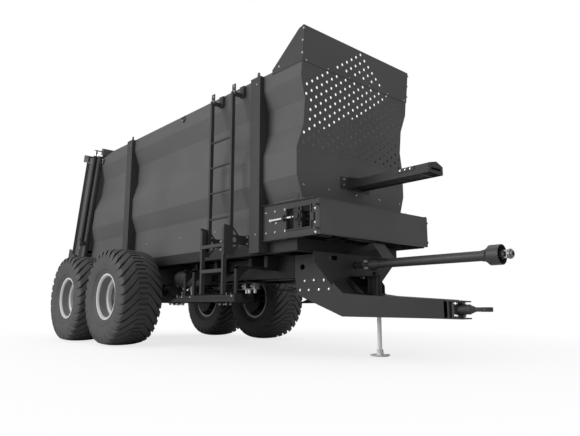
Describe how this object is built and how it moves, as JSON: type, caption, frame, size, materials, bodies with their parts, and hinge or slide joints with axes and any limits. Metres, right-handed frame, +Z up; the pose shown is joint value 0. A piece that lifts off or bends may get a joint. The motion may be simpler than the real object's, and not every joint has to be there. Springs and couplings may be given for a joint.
{
  "type": "manure spreader",
  "caption": "Towed tandem-axle manure spreader with a folded-wall load box, floor conveyor, lifting tailgate and two upright rear beaters.",
  "frame": {"origin": "bottom centre of the bounding box, on the ground between the front and rear ends", "axes": "+X forward to the drawbar, +Y to the left-hand side, +Z up"},
  "size_m": [7.8404, 3, 3.318],
  "materials": {
    "body_paint": "satin anthracite paint",
    "frame_paint": "satin dark grey paint",
    "floor_steel": "dull dark paint",
    "chain_steel": "bare steel",
    "cast_dark": "dark casting",
    "galvanised": "zinc plated",
    "chrome_rod": "hard chrome",
    "guard_plastic": "dark moulded plastic",
    "rim_silver": "silver paint",
    "tyre_rubber": "dull black rubber"
  },
  "bodies": {
    "spreader": {"side_walls": "body_paint", "wall_posts": "body_paint", "end_posts": "body_paint", "side_sills": "body_paint", "box_floor": "floor_steel", "headboard": "body_paint", "front_guard": "body_paint", "floor_chains": "chain_steel", "chain_shafts": "chain_steel", "front_box": "body_paint", "front_cover": "body_paint", "chain_tensioners": "chain_steel", "chassis_rails": "frame_paint", "neck_plates": "body_paint", "tow_eye": "cast_dark", "jack_housing": "body_paint", "pto_guard": "guard_plastic", "pto_joints": "galvanised", "front_gearbox": "cast_dark", "driveline": "cast_dark", "axle_beams": "frame_paint", "leaf_springs": "frame_paint", "hose_arm": "body_paint", "ladder": "frame_paint", "ladder_brackets": "frame_paint", "side_guards": "frame_paint", "side_plates": "body_paint", "beater_beams": "body_paint", "gate_barrels": "frame_paint", "rear_lamps": "frame_paint", "air_tank": "frame_paint"},
    "jack": {"jack_leg": "galvanised"},
    "beater_right": {"beater_right": "body_paint"},
    "beater_left": {"beater_left": "body_paint"},
    "gate": {"tailgate": "body_paint", "gate_rods": "chrome_rod"},
    "wheel_front_right": {"tyre_front_right": "tyre_rubber", "rim_front_right": "rim_silver"},
    "wheel_front_left": {"tyre_front_left": "tyre_rubber", "rim_front_left": "rim_silver"},
    "wheel_rear_right": {"tyre_rear_right": "tyre_rubber", "rim_rear_right": "rim_silver"},
    "wheel_rear_left": {"tyre_rear_left": "tyre_rubber", "rim_rear_left": "rim_silver"}
  },
  "joints": [
    {"name": "wheel_front_right_spin", "type": "hinge", "parent": "spreader", "child": "wheel_front_right", "pos_m": [-0.79679, -1.22, 0.62], "axis": [0, 1, 0], "continuous": true},
    {"name": "wheel_front_left_spin", "type": "hinge", "parent": "spreader", "child": "wheel_front_left", "pos_m": [-0.79679, 1.22, 0.62], "axis": [0, 1, 0], "continuous": true},
    {"name": "wheel_rear_right_spin", "type": "hinge", "parent": "spreader", "child": "wheel_rear_right", "pos_m": [-2.15279, -1.22, 0.62], "axis": [0, 1, 0], "continuous": true},
    {"name": "wheel_rear_left_spin", "type": "hinge", "parent": "spreader", "child": "wheel_rear_left", "pos_m": [-2.15279, 1.22, 0.62], "axis": [0, 1, 0], "continuous": true},
    {"name": "beater_right_spin", "type": "hinge", "parent": "spreader", "child": "beater_right", "pos_m": [-3.30167, -0.448, 2.2952], "axis": [0.2588, 0, 0.9659], "continuous": true},
    {"name": "beater_left_spin", "type": "hinge", "parent": "spreader", "child": "beater_left", "pos_m": [-3.30167, 0.448, 2.2952], "axis": [0.2588, 0, 0.9659], "continuous": true},
    {"name": "gate_slide", "type": "slide", "parent": "spreader", "child": "gate", "axis": [0.2588, 0, 0.9659], "range_m": [0, 1.1]},
    {"name": "jack_slide", "type": "slide", "parent": "spreader", "child": "jack", "axis": [0, 0, 1], "range_m": [0, 0.3]}
  ],
  "couplings": [
    {"joint": "beater_left_spin", "follows": "beater_right_spin", "ratio": -1}
  ]
}
